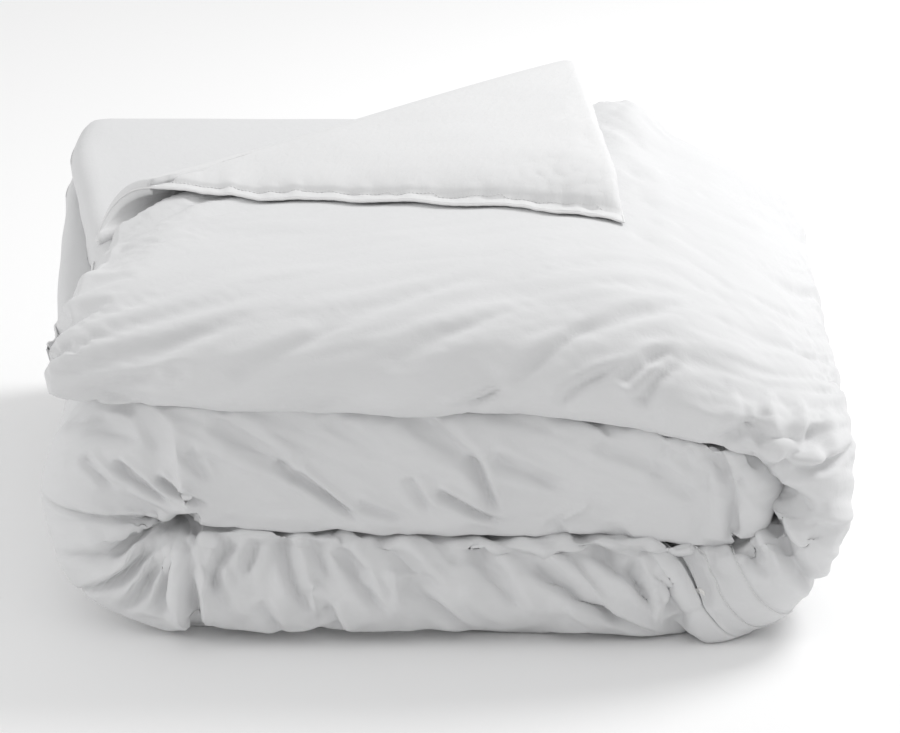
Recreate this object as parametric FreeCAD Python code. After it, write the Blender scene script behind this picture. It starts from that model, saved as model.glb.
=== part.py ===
import FreeCAD, Part
import math
import os

from FreeCAD import Vector

# A full/queen duvet in its buttoned cover, folded in thirds both ways.
# +X runs along the folded pack, -Y is its front, +Z is up, millimetres, origin under the
# middle of the pack. The duvet runs from its free end inside the pack (right end of the
# middle lap), round the left fold, along the bottom lap, up the right fold and back along
# the top lap to its other end, whose back corner is turned over towards the front.

# Pack
HALF_WIDTH = 390.0          # centre to the outside of the left and right folds
HALF_DEPTH = 350.0          # centre to the front and back of every lap
CLEAR = 0.3                 # between pieces that move apart
TOUCH = 0.1                 # between pieces that lie on each other for good

# Laps, bottom to top
BOTTOM_TOP = 104.0
CLOSURE_GAP = 5.0           # room for the closure between the bottom and middle laps
MIDDLE_TOP = 228.0
LOWER_PLIES_TOP = 292.0     # two plies of the top lap, under the turned corner
UPPER_PLY_TOP = 330.0
FLAP_THICK = 24.0
LEFT_FOLD_THICK = 70.0
LAP_RIGHT = 311.7           # right end of the bottom and top laps
MIDDLE_RIGHT = 305.0        # free end of the middle lap
TOP_LEFT = -385.0           # free end of the top lap

# Right fold: a wall with a round end about each fold line
FOLD_X = 351.0
FOLD_RADIUS = 39.0
LOWER_FOLD_Z = 63.3
UPPER_FOLD_Z = 291.3

# Turned corner, in plan
CREASE_LEFT = Vector(-352.0, -52.0, 0.0)
CREASE_BACK = Vector(140.0, 345.0, 0.0)
FREE_CORNER = Vector(172.0, -75.0, 0.0)

# Edges
FRONT_RADIUS = 48.0         # puffed front fold of a lap
BACK_RADIUS = 22.0          # ply edges at the back
END_RADIUS = 14.0           # free ends of the laps

# Cloth and filling
COVER_THICK = 1.2           # cover cloth with its seam allowances
SHELL_THICK = 0.8           # casing of the duvet inside the cover
LAYER_GAP = 0.3
BAFFLE_THICK = 0.8
PLY_GAP = 4.0               # hollow between two plies, where ties and buttons lie
POCKETS_ALONG = 2
POCKETS_ACROSS = 2
SEAM_RADIUS = 2.0

# Closure of the cover
PLACKET_X = (212.0, 290.0)  # across the bottom lap, near its right end
PLACKET_THICK = 0.8
BUTTON_RADIUS = 6.0
BUTTON_THICK = 2.4
BUTTON_PITCH = 190.0
BUTTON_ROW_X = 236.0

# Small pieces inside
TIE_LENGTH = 60.0
TIE_WIDTH = 8.0
TIE_THICK = 1.0
LABEL_SIZE = (36.0, 60.0, 0.6)

BIG = 2000.0


def rounded_outline(a0, a1, b0, b1, radii):
    """Closed outline in local (a, b) with radii at (a0,b0), (a1,b0), (a1,b1), (a0,b1)."""
    limit = 0.4999 * min(a1 - a0, b1 - b0)
    r = [min(value, limit) for value in radii]
    corners = [(a0, b0), (a1, b0), (a1, b1), (a0, b1)]
    inward = [(1, 1), (-1, 1), (-1, -1), (1, -1)]
    points = []
    for index, ((a, b), (sa, sb), radius) in enumerate(zip(corners, inward, r)):
        along_a = (a + sa * radius, b)
        along_b = (a, b + sb * radius)
        middle = (a + sa * radius * (1 - math.sqrt(0.5)), b + sb * radius * (1 - math.sqrt(0.5)))
        first, last = (along_b, along_a) if index % 2 == 0 else (along_a, along_b)
        points.append((first, middle, last, radius))
    return points


def outline_face(points, place):
    """A planar face from rounded_outline's points; place maps (a, b) to a Vector."""
    edges = []
    count = len(points)
    for index in range(count):
        first, middle, last, radius = points[index]
        following = points[(index + 1) % count][0]
        if radius > 0.01:
            edges.append(Part.Arc(place(*first), place(*middle), place(*last)).toShape())
        if math.dist(last, following) > 1e-4:
            edges.append(Part.LineSegment(place(*last), place(*following)).toShape())
    return Part.Face(Part.Wire(edges))


def cushion(x, y, z, front, back, left, right):
    """A block rounded at its front and back in Y and at its ends in X.

    left and right are radii, or (low, high) pairs of radii.
    """
    pair = lambda value: value if isinstance(value, tuple) else (value, value)
    (left_low, left_high), (right_low, right_high) = pair(left), pair(right)
    side = outline_face(
        rounded_outline(y[0], y[1], z[0], z[1], (front, back, back, front)),
        lambda a, b: Vector(x[0], a, b),
    ).extrude(Vector(x[1] - x[0], 0, 0))
    face = outline_face(
        rounded_outline(x[0], x[1], z[0], z[1], (left_low, right_low, right_high, left_high)),
        lambda a, b: Vector(a, y[0], b),
    ).extrude(Vector(0, y[1] - y[0], 0))
    return side.common(face)


def nested(spec, depth):
    """The same cushion set in by depth on every side."""
    x, y, z, front, back, left, right = spec
    less = lambda r: tuple(max(v - depth, 0) for v in r) if isinstance(r, tuple) else max(r - depth, 0)
    inner = [(low + depth, high - depth) for low, high in (x, y, z)]
    return cushion(*inner, less(front), less(back), less(left), less(right))


def block(x, y, z):
    return Part.makeBox(x[1] - x[0], y[1] - y[0], z[1] - z[0], Vector(x[0], y[0], z[0]))


def prism(points, z):
    """Upright prism over a plan polygon."""
    wire = Part.makePolygon([Vector(p.x, p.y, z[0]) for p in points + points[:1]])
    return Part.Face(wire).extrude(Vector(0, 0, z[1] - z[0]))


def inset(points, depth):
    """A convex plan polygon, listed anticlockwise, with every side moved in by depth."""
    count = len(points)
    lines = []
    for index in range(count):
        start, end = points[index], points[(index + 1) % count]
        along = (end - start).normalize()
        lines.append((start + Vector(-along.y, along.x, 0) * depth, along))
    moved = []
    for index in range(count):
        (p, u), (q, v) = lines[index - 1], lines[index]
        step = ((q.x - p.x) * v.y - (q.y - p.y) * v.x) / (u.x * v.y - u.y * v.x)
        moved.append(p + u * step)
    return moved


def bar(start, end, radius):
    along = end - start
    return Part.makeCylinder(radius, along.Length, start, along)


def pockets_and_baffles(space, x, y, z, plies):
    """Filling pockets and the baffle strips between them, ply by ply, inside space."""
    thick = (z[1] - z[0] - PLY_GAP * (plies - 1)) / plies
    pockets, baffles = [], []
    for ply in range(plies):
        low = z[0] + ply * (thick + PLY_GAP)
        step_x = (x[1] - x[0]) / POCKETS_ALONG
        step_y = (y[1] - y[0]) / POCKETS_ACROSS
        half = BAFFLE_THICK / 2
        room = half + TOUCH
        for i in range(POCKETS_ALONG):
            for j in range(POCKETS_ACROSS):
                px = (x[0] + i * step_x + room, x[0] + (i + 1) * step_x - room)
                py = (y[0] + j * step_y + room, y[0] + (j + 1) * step_y - room)
                pockets.append(block(px, py, (low, low + thick)).common(space))
        mid_x, mid_y = x[0] + step_x, y[0] + step_y
        across = block((mid_x - half, mid_x + half), y, (low, low + thick))
        along = block(x, (mid_y - half, mid_y + half), (low, low + thick))
        baffles.append(across.fuse(along).common(space))
    return pockets, baffles


def single(shape):
    """The shape's largest solid: cuts and commons come back as compounds."""
    return max(shape.Solids, key=lambda solid: solid.Volume)


nodes = {}


def add(name, shapes):
    shapes = shapes if isinstance(shapes, list) else [shapes]
    nodes[name] = [single(shape) for shape in shapes]


SHELL_IN = COVER_THICK + LAYER_GAP
FILL_IN = SHELL_IN + SHELL_THICK + LAYER_GAP


def layered(name, spec, plies):
    """One lap: cover skin, duvet casing, filling pockets and baffles, each inside the last."""
    add("cover_" + name, cushion(*spec).cut(nested(spec, COVER_THICK)))
    add(
        "duvet_shell_" + name,
        nested(spec, SHELL_IN).cut(nested(spec, SHELL_IN + SHELL_THICK)),
    )
    space = nested(spec, FILL_IN)
    x, y, z = [(low + FILL_IN, high - FILL_IN) for low, high in spec[:3]]
    pockets, baffles = pockets_and_baffles(space, x, y, z, plies)
    add("filling_" + name, pockets)
    add("baffles_" + name, baffles)


DEPTH = (-HALF_DEPTH, HALF_DEPTH)
BOTTOM_X = (-HALF_WIDTH + LEFT_FOLD_THICK + TOUCH, LAP_RIGHT)
MIDDLE_X = (-HALF_WIDTH + LEFT_FOLD_THICK + TOUCH, MIDDLE_RIGHT)
MIDDLE_LOW = BOTTOM_TOP + CLOSURE_GAP

# Lower laps: they stay where the duvet lies
bottom_spec = (BOTTOM_X, DEPTH, (0.0, BOTTOM_TOP), FRONT_RADIUS, BACK_RADIUS, 0.0, (END_RADIUS, 0.0))
middle_spec = (
    MIDDLE_X, DEPTH, (MIDDLE_LOW, MIDDLE_TOP), FRONT_RADIUS, BACK_RADIUS, 0.0, END_RADIUS,
)
layered("bottom_lap", bottom_spec, 3)
layered("middle_lap", middle_spec, 3)

# Left fold: three plies turn up from the bottom lap into the middle lap
left_spec = (
    (-HALF_WIDTH, -HALF_WIDTH + LEFT_FOLD_THICK), DEPTH, (0.0, MIDDLE_TOP),
    FRONT_RADIUS, BACK_RADIUS, 62.0, 0.0,
)
add("cover_left_fold", cushion(*left_spec).cut(nested(left_spec, COVER_THICK)))
add(
    "duvet_shell_left_fold",
    nested(left_spec, SHELL_IN).cut(nested(left_spec, SHELL_IN + SHELL_THICK)),
)
add("filling_left_fold", nested(left_spec, FILL_IN))

# Right fold: the wall that turns over when the top lap is opened
wall_spec = (
    (FOLD_X - FOLD_RADIUS, FOLD_X + FOLD_RADIUS), DEPTH,
    (LOWER_FOLD_Z - FOLD_RADIUS, UPPER_FOLD_Z + FOLD_RADIUS),
    FRONT_RADIUS, BACK_RADIUS, FOLD_RADIUS, FOLD_RADIUS,
)
add("cover_right_fold", cushion(*wall_spec).cut(nested(wall_spec, COVER_THICK)))
add(
    "duvet_shell_right_fold",
    nested(wall_spec, SHELL_IN).cut(nested(wall_spec, SHELL_IN + SHELL_THICK)),
)
add("filling_right_fold", nested(wall_spec, FILL_IN))

# Top lap: two full plies, and an upper ply whose back left corner is turned over
TOP_X = (TOP_LEFT, LAP_RIGHT)
TOP_Z = (MIDDLE_TOP + CLEAR, UPPER_PLY_TOP)
top_spec = (TOP_X, DEPTH, TOP_Z, FRONT_RADIUS, BACK_RADIUS, END_RADIUS, 0.0)
along_crease = (CREASE_BACK - CREASE_LEFT).normalize()
towards_flap = Vector(along_crease.y, -along_crease.x, 0)
crease_slope = along_crease.y / along_crease.x


def upper_ply_outline(depth):
    """Plan of the upper ply set in by depth, with its back left corner off at the crease."""
    crease_at = lambda x: CREASE_LEFT.y + (x - CREASE_LEFT.x) * crease_slope
    back_x = CREASE_LEFT.x + (HALF_DEPTH - CREASE_LEFT.y) / crease_slope
    full = [
        Vector(TOP_LEFT, -HALF_DEPTH, 0),
        Vector(LAP_RIGHT, -HALF_DEPTH, 0),
        Vector(LAP_RIGHT, HALF_DEPTH, 0),
        Vector(back_x, HALF_DEPTH, 0),
        Vector(TOP_LEFT, crease_at(TOP_LEFT), 0),
    ]
    return inset(full, depth)


def top_layer(depth, z):
    """The top lap set in by depth and cut to one band of height."""
    x, y = TOP_X, DEPTH
    shape = nested(top_spec, depth)
    return shape.common(block((x[0] - 1, x[1] + 1), (y[0] - 1, y[1] + 1), z))


LOWER_BAND = (TOP_Z[0], LOWER_PLIES_TOP)
UPPER_BAND = (LOWER_PLIES_TOP + TOUCH, UPPER_PLY_TOP)


def lower_plies(depth):
    return top_layer(depth, (LOWER_BAND[0] + depth, LOWER_BAND[1] - depth))


def upper_ply(depth):
    band = (UPPER_BAND[0] + depth, UPPER_BAND[1] - depth)
    return top_layer(depth, band).common(prism(upper_ply_outline(depth), band))


for name, layer in (("top_lap_lower_plies", lower_plies), ("top_lap_upper_ply", upper_ply)):
    add("cover_" + name, layer(0.0).cut(layer(COVER_THICK)))
    add("duvet_shell_" + name, layer(SHELL_IN).cut(layer(SHELL_IN + SHELL_THICK)))
lower_space = [
    (TOP_X[0] + FILL_IN, TOP_X[1] - FILL_IN),
    (DEPTH[0] + FILL_IN, DEPTH[1] - FILL_IN),
    (LOWER_BAND[0] + FILL_IN, LOWER_BAND[1] - FILL_IN),
]
pockets, baffles = pockets_and_baffles(lower_plies(FILL_IN), *lower_space, 2)
add("filling_top_lap_lower_plies", pockets)
add("baffles_top_lap_lower_plies", baffles)
add("filling_top_lap_upper_ply", upper_ply(FILL_IN))

# Turned corner: lies on the upper ply, its underside now facing up
FLAP_Z = (UPPER_PLY_TOP + CLEAR, UPPER_PLY_TOP + CLEAR + FLAP_THICK)
flap_plan = [
    CREASE_LEFT + towards_flap * CLEAR,
    FREE_CORNER,
    CREASE_BACK + towards_flap * CLEAR,
]


def turned_corner(depth):
    return prism(inset(flap_plan, depth), (FLAP_Z[0] + depth, FLAP_Z[1] - depth))


add("cover_turned_corner", turned_corner(0.0).cut(turned_corner(COVER_THICK)))
add("duvet_shell_turned_corner", turned_corner(SHELL_IN).cut(turned_corner(SHELL_IN + SHELL_THICK)))
add("filling_turned_corner", turned_corner(FILL_IN))

# Edge seams: the rolled seam along each free edge of the cover
seam_off = SEAM_RADIUS + TOUCH
flap_mid = Vector(0, 0, (FLAP_Z[0] + FLAP_Z[1]) / 2)


def seam_beside(start, end, back_off):
    """A seam along one free edge of the turned corner, just outside it."""
    along = (end - start).normalize()
    outward = Vector(along.y, -along.x, 0)
    shift = outward * seam_off + flap_mid
    return bar(start + along * back_off + shift, end + shift, SEAM_RADIUS)


add(
    "edge_seam_turned_corner",
    [
        seam_beside(flap_plan[0], flap_plan[1], 12.0),
        seam_beside(flap_plan[1], flap_plan[2], 0.0),
    ],
)
seam_inset = 60.0
upper_mid_z = (UPPER_BAND[0] + UPPER_BAND[1]) / 2
top_end_back = CREASE_LEFT.y - 40.0
add(
    "edge_seam_top_lap_end",
    [
        bar(
            Vector(TOP_LEFT - seam_off, -HALF_DEPTH + seam_inset, upper_mid_z - 6.0),
            Vector(TOP_LEFT - seam_off, top_end_back, upper_mid_z - 6.0),
            SEAM_RADIUS,
        )
    ],
)
middle_mid_z = (MIDDLE_LOW + MIDDLE_TOP) / 2
add(
    "edge_seam_middle_lap_end",
    [
        bar(
            Vector(MIDDLE_RIGHT + seam_off, -HALF_DEPTH + seam_inset, middle_mid_z),
            Vector(MIDDLE_RIGHT + seam_off, HALF_DEPTH - seam_inset, middle_mid_z),
            SEAM_RADIUS,
        )
    ],
)

# Closure of the cover: a lower placket, a row of buttons and an upper placket. It runs
# down the front of the bottom lap and back between the bottom and middle laps.
FLAT_RUN_Y = (-HALF_DEPTH + FRONT_RADIUS, HALF_DEPTH - seam_inset)


def placket(x, offset):
    """A band that lies offset outside the bottom lap's cover, on its front and its top."""
    grown = offset + PLACKET_THICK
    outer = nested(bottom_spec, -grown)
    band = outer.cut(nested(bottom_spec, -offset))
    keep = block(x, (-HALF_DEPTH - grown, FLAT_RUN_Y[1]), (SEAM_RADIUS, BOTTOM_TOP + grown))
    return band.common(keep)


button_off = TOUCH + PLACKET_THICK + TOUCH
upper_off = button_off + BUTTON_THICK + TOUCH
add("closure_lower_placket", placket((PLACKET_X[0] + 12.0, PLACKET_X[1]), TOUCH))
add("closure_upper_placket", placket(PLACKET_X, upper_off))
button_y = [FLAT_RUN_Y[0] + 30.0 + BUTTON_PITCH * index for index in range(3)]
top_buttons = [
    Part.makeCylinder(
        BUTTON_RADIUS, BUTTON_THICK, Vector(BUTTON_ROW_X, y, BOTTOM_TOP + button_off)
    )
    for y in button_y
]
front_button = Part.makeCylinder(
    BUTTON_RADIUS,
    BUTTON_THICK,
    Vector(BUTTON_ROW_X, -HALF_DEPTH - button_off, BOTTOM_TOP / 2),
    Vector(0, -1, 0),
)
ply_thick = (BOTTOM_TOP - 2 * FILL_IN - 2 * PLY_GAP) / 3
ply_gap_z = [FILL_IN + ply_thick * (k + 1) + PLY_GAP * k + PLY_GAP / 2 for k in range(2)]
inner_buttons = [
    Part.makeCylinder(BUTTON_RADIUS, BUTTON_THICK, Vector(BUTTON_ROW_X, y, z - BUTTON_THICK / 2))
    for z in ply_gap_z
    for y in button_y
]
add("closure_buttons", top_buttons + [front_button] + inner_buttons)

# Blank care label, on the lower placket's side of the closure near the back seam
label_x = PLACKET_X[0] - LABEL_SIZE[0] - 8.0
add(
    "care_label",
    block(
        (label_x, label_x + LABEL_SIZE[0]),
        (FLAT_RUN_Y[1] - LABEL_SIZE[1], FLAT_RUN_Y[1]),
        (BOTTOM_TOP + 1.0, BOTTOM_TOP + 1.0 + LABEL_SIZE[2]),
    ),
)


def tie_and_loop(x, y, z, inward):
    """A flat cover tie and the duvet's corner loop beside it, in a hollow between plies."""
    ends = sorted((x, x + inward * TIE_LENGTH))
    tie = block(ends, (y, y + TIE_WIDTH), (z, z + TIE_THICK))
    loop_y = y + TIE_WIDTH + 3.0
    outer = block(ends, (loop_y, loop_y + 3 * TIE_WIDTH), (z, z + TIE_THICK))
    hole_x = (ends[0] + TIE_WIDTH / 2, ends[1] - TIE_WIDTH / 2)
    hole = block(hole_x, (loop_y + TIE_WIDTH / 2, loop_y + 2.5 * TIE_WIDTH), (z - 1, z + 2))
    return tie, outer.cut(hole)


# Corners of the duvet: two at the free end inside the pack, two at the top lap's end
middle_ply = (MIDDLE_TOP - MIDDLE_LOW - 2 * FILL_IN - 2 * PLY_GAP) / 3
tie_x = MIDDLE_RIGHT - FILL_IN - 20.0
pairs = []
for k, y in enumerate((-HALF_DEPTH + 70.0, HALF_DEPTH - 110.0)):
    gap_low = MIDDLE_LOW + FILL_IN + middle_ply * (k + 1) + PLY_GAP * k
    pairs.append(tie_and_loop(tie_x, y, gap_low + 1.5, -1))
add("cover_ties_middle_lap", [tie for tie, loop in pairs])
add("duvet_loops_middle_lap", [loop for tie, loop in pairs])

top_ply = (LOWER_BAND[1] - LOWER_BAND[0] - 2 * FILL_IN - PLY_GAP) / 2
tie, loop = tie_and_loop(
    TOP_LEFT + FILL_IN + 20.0, HALF_DEPTH - 110.0, LOWER_BAND[0] + FILL_IN + top_ply + 1.5, 1
)
add("cover_tie_top_lap", tie)
add("duvet_loop_top_lap", loop)

for name, solids in nodes.items():
    shape = solids[0] if len(solids) == 1 else Part.makeCompound(solids)
    os.makedirs("parts", exist_ok=True)
    shape.exportStep("parts/" + name + ".step")
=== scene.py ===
import math

import bpy
import numpy as np
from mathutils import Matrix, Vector, noise
from mathutils.bvhtree import BVHTree


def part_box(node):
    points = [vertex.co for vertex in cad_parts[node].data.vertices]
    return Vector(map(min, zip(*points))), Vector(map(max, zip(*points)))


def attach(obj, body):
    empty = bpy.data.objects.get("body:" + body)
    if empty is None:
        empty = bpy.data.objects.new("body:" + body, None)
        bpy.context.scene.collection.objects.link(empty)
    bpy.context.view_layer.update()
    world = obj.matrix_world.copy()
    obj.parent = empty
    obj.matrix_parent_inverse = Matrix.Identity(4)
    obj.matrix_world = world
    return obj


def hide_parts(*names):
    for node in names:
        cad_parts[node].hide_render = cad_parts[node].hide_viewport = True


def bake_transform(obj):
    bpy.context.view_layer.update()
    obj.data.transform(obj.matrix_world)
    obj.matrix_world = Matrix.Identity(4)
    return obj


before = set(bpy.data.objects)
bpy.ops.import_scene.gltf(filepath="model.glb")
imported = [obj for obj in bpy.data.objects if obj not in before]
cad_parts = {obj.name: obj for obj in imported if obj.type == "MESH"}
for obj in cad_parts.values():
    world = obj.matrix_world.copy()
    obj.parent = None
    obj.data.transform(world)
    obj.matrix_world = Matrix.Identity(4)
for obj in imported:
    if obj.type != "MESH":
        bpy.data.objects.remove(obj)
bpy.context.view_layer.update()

# ---------------------------------------------------------------- sizes from the CAD model
bottom_lo, bottom_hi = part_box("cover_bottom_lap")
middle_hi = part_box("cover_middle_lap")[1]
left_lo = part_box("cover_left_fold")[0]
wall_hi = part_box("cover_right_fold")[1]
plies_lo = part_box("cover_top_lap_lower_plies")[0]
upper_lo, upper_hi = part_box("cover_top_lap_upper_ply")
flap_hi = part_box("cover_turned_corner")[1]

FRONT_Y = bottom_lo.y
BACK_Y = bottom_hi.y
Z_LOW = bottom_hi.z - 0.005                  # crease between bottom and middle laps
Z_HIGH = middle_hi.z + 0.001                 # crease between middle and top laps
Z_TOP = upper_hi.z
LEFT_X = left_lo.x
RIGHT_X = wall_hi.x

# ---------------------------------------------------------------- the folded strip's path
GRID = 0.0085
LEFT_C = (LEFT_X + 0.135, Z_LOW)             # centre of the left fold
LEFT_REACH = 0.020
BOXINESS = 3.1                               # how square the left fold is, 2 being round
TOP_END = plies_lo.x + 0.012
MIDDLE_END = middle_hi.x - 0.020
RIGHT_C = (0.256, (Z_LOW + Z_HIGH) / 2)      # centre of the right fold

# nose of a lap: depth of rounding on the outer and on the inner side, outer share of height
MIDDLE_NOSE = (0.060, 0.045, 0.55)
BOTTOM_NOSE = (0.028, 0.060, 0.35)
TOP_NOSE = (0.150, 0.035, 0.80)
# how far each segment's front stands forward of the CAD solid
FORWARD = {1: 0.001, 2: 0.006, 3: 0.016, 4: 0.010, 5: 0.010}
# over how many stations the section's turn, its front and a lap's own folds change
TURN_SOFTNESS, FRONT_SOFTNESS, FOLDS_SOFTNESS = 3.0, 5.0, 8.0
END_FADE = 7                                 # stations from a free end without creases


def smooth(t):
    t = np.clip(t, 0, 1)
    return t * t * (3 - 2 * t)


def softened(values, steps):
    """Values along the strip, made to change gradually over about that many stations."""
    reach = int(3 * steps)
    kernel = np.exp(-0.5 * (np.arange(-reach, reach + 1) / steps) ** 2)
    padded = np.pad(np.asarray(values, float), reach, mode="edge")
    return np.convolve(padded, kernel / kernel.sum(), mode="valid")


def path_stations(grow=0.0):
    """Stations along the strip: segment, centre x and z, outward normal angle, thickness,
    front inset and nose."""
    rows = []
    mid_z, mid_t = (Z_LOW + Z_HIGH) / 2, Z_HIGH - Z_LOW - 0.002
    low_z, low_t = Z_LOW / 2, Z_LOW - 0.002
    top_z, top_t = (Z_HIGH + Z_TOP) / 2, Z_TOP - Z_HIGH - 0.001
    n = int((MIDDLE_END - LEFT_C[0]) / GRID)
    for x in np.linspace(MIDDLE_END, LEFT_C[0], n, endpoint=False):
        rows.append((1, x, mid_z, 90.0, mid_t, 0.0, *MIDDLE_NOSE))
    n = 32
    for k in range(n):
        a = 90.0 + 180.0 * k / n
        w = smooth((a - 90.0) / 180.0)
        t = mid_t * (1 - w) + low_t * w
        r = t / 2 + 0.002 + grow
        c, s = math.cos(math.radians(a)), math.sin(math.radians(a))
        boxy = (abs(c) ** BOXINESS + abs(s) ** BOXINESS) ** (-1 / BOXINESS)
        cx = LEFT_C[0] + (r * boxy + LEFT_REACH * (1 - abs(s) ** 3)) * c
        cz = LEFT_C[1] + r * s * (1 + 0.6 * (boxy - 1))
        nose = np.array(MIDDLE_NOSE) * (1 - w) + np.array(BOTTOM_NOSE) * w
        rows.append((2, cx, cz, a, t, 0.022 * math.sin(math.pi * k / n), *nose))
    n = int((RIGHT_C[0] - LEFT_C[0]) / GRID)
    for x in np.linspace(LEFT_C[0], RIGHT_C[0], n, endpoint=False):
        rows.append((3, x, low_z, 270.0, low_t, 0.0, *BOTTOM_NOSE))
    n = 46
    side_in, side_t = 0.056, RIGHT_X - RIGHT_C[0] - 0.056
    for k in range(n):
        a = -90.0 + 180.0 * k / n
        c, s = math.cos(math.radians(a)), math.sin(math.radians(a))
        w = c * c
        end_t = low_t if a < 0 else top_t
        end_in = mid_t / 2 + 0.002
        t = end_t * (1 - w) + side_t * w
        r = end_in * (1 - w) + side_in * w + t / 2 + grow
        blend = smooth((a + 90.0) / 180.0)
        nose = np.array(BOTTOM_NOSE) * (1 - blend) + np.array(TOP_NOSE) * blend
        rows.append((4, RIGHT_C[0] + r * c, RIGHT_C[1] + r * s, 360.0 + a, t, 0.018 * w, *nose))
    n = int((RIGHT_C[0] - TOP_END) / GRID)
    for x in np.linspace(RIGHT_C[0], TOP_END, n):
        rows.append((5, x, top_z, 450.0, top_t, 0.0, *TOP_NOSE))
    return np.array(rows)


def section(thick, front, back, nose, fractions):
    """Points (offset, y) at fractions of the way round a lap's section, from its back's middle
    over the outer side to the front and back along the inner side. nose is the depth of the
    rounding on the outer side, on the inner side, and the outer side's share of the height."""
    outer_depth, inner_depth, share = nose
    rb = 0.34 * thick
    half = thick / 2
    tip = half - share * thick
    arc = np.linspace(0, math.pi / 2, 25)
    round_back = np.linspace(0, math.pi / 2, 13)
    outer = [(half - rb + rb * math.sin(a), back - rb + rb * math.cos(a)) for a in round_back]
    outer += [
        (tip + (half - tip) * math.cos(a), front + outer_depth * (1 - math.sin(a))) for a in arc
    ]
    inner = [
        (tip - (half + tip) * math.cos(a), front + inner_depth * (1 - math.sin(a)))
        for a in arc[::-1]
    ]
    inner += [
        (-half + rb - rb * math.sin(a), back - rb + rb * math.cos(a)) for a in round_back[::-1]
    ]
    line = np.array([(0.0, back)] + outer + inner[1:] + [(0.0, back)])
    steps = np.hypot(*np.diff(line, axis=0).T)
    along = np.concatenate([[0], np.cumsum(steps)])
    # the front tip is always half way round, so that both sides keep the same count
    half_at = along[len(outer)]
    at = fractions % 1.0
    at = np.where(at < 0.5, at * 2 * half_at, half_at + (at * 2 - 1) * (along[-1] - half_at))
    return np.interp(at, along, line[:, 0]), np.interp(at, along, line[:, 1])


ROUND_LENGTH = 1.57                          # round one lap
AROUND = 2 * int((ROUND_LENGTH / GRID) / 2)
CAP_RINGS = 6


def strip(grow=0.0, twist=None):
    """All the strip's points as [station, around, xyz], with rounded free ends."""
    rows = path_stations(grow)
    rows[:, 3] = softened(rows[:, 3], TURN_SOFTNESS)
    centre = rows[:, 1:3]
    step = np.hypot(*np.diff(centre, axis=0).T)
    dist = np.concatenate([[0], np.cumsum(step)])
    fractions = np.arange(AROUND) / AROUND
    points, lengths = [], []
    forward = softened([FORWARD[int(r[0])] for r in rows], FRONT_SOFTNESS)

    def ring(k, s, inset=0.0, ahead=0.0):
        _, x, z, angle, thick, back_in, nose_out, nose_in, share = rows[k]
        a = math.radians(angle)
        shift = 0.0 if twist is None else twist(s)
        t = max(thick - 2 * inset, 1e-5)
        nose = (max(nose_out - inset, 0.3 * t), max(nose_in - inset, 0.3 * t), share)
        front = FRONT_Y + back_in + inset - forward[k]
        off, y = section(t, front, BACK_Y - inset, nose, fractions + shift)
        travel = (-math.sin(a), math.cos(a))
        px = x + math.cos(a) * off + travel[0] * ahead
        pz = z + math.sin(a) * off + travel[1] * ahead
        points.append(np.stack([px, y, pz], axis=1))
        lengths.append(s + ahead)

    first, last = rows[0], rows[-1]
    r0, r1 = first[4] / 2, last[4] / 2
    for k in range(CAP_RINGS):
        a = math.pi / 2 * k / CAP_RINGS
        ring(0, 0.0, r0 * (1 - math.sin(a)), -0.6 * r0 * math.cos(a))
    for k, s in enumerate(dist):
        ring(k, s)
    for k in reversed(range(CAP_RINGS)):
        a = math.pi / 2 * k / CAP_RINGS
        ring(-1, dist[-1], r1 * (1 - math.sin(a)), 0.35 * r1 * math.cos(a))
    segments = [int(first[0])] * CAP_RINGS + [int(r[0]) for r in rows]
    segments += [int(last[0])] * CAP_RINGS
    return np.array(points), np.array(lengths), np.array(segments)


def strip_faces(n, around):
    """Quads between n rings, with their grid corners; the end rings are closed on themselves."""
    def index(i, j):
        j %= around
        if i in (0, n - 1):
            j = min(j, around - j)
        return i * around + j

    faces, corners = [], []
    for i in range(n - 1):
        for j in range(around):
            grid = [(i, j), (i, j + 1), (i + 1, j + 1), (i + 1, j)]
            quad = {}
            for g in grid:
                quad.setdefault(index(*g), g)
            if len(quad) > 2:
                faces.append(list(quad)[::-1])
                corners.append(list(quad.values())[::-1])
    return faces, corners


def mesh_object(name, verts, faces):
    mesh = bpy.data.meshes.new(name)
    mesh.from_pydata([tuple(v) for v in verts], [], faces)
    obj = bpy.data.objects.new(name, mesh)
    bpy.context.scene.collection.objects.link(obj)
    return obj


def normals_of(grid):
    """Unit normals of the strip's grid, pointing out of the lap."""
    du = np.gradient(grid, axis=0)
    dv = np.roll(grid, -1, axis=1) - np.roll(grid, 1, axis=1)
    n = np.cross(du, dv)
    return n / np.maximum(np.linalg.norm(n, axis=2, keepdims=True), 1e-9)


# heights of the two creases and of the top, along the pack, after it has sagged
SAG_X = [-0.40, -0.25, -0.10, 0.06, 0.16, 0.215, 0.255, 0.300, 0.351, 0.380, 0.392]
SAG_LOW = [0.014, 0.015, 0.006, 0.006, 0.003, -0.001, -0.006, -0.006, -0.006, -0.003, 0.0]
SAG_HIGH = [0.020, 0.009, 0.006, 0.001, -0.010, -0.021, -0.034, -0.042, -0.041, -0.039, -0.014]
SAG_TOP = [0.000, 0.000, 0.002, 0.003, 0.001, -0.012, -0.038, -0.068, -0.082, -0.070, -0.030]
# how far the top lap's free end is drawn in to the right, by y
END_Y = [-0.36, -0.285, -0.125, -0.03]
END_IN = [0.0025, 0.0145, 0.0365, 0.0445]


def knots(x, values):
    """Smooth interpolation of the SAG tables."""
    fine = np.linspace(SAG_X[0], SAG_X[-1], 200)
    v = np.interp(fine, SAG_X, values)
    k = np.exp(-0.5 * (np.arange(-8, 9) / 3.0) ** 2)
    v = np.convolve(np.pad(v, 8, mode="edge"), k / k.sum(), mode="valid")
    return np.interp(x, fine, v)


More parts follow.
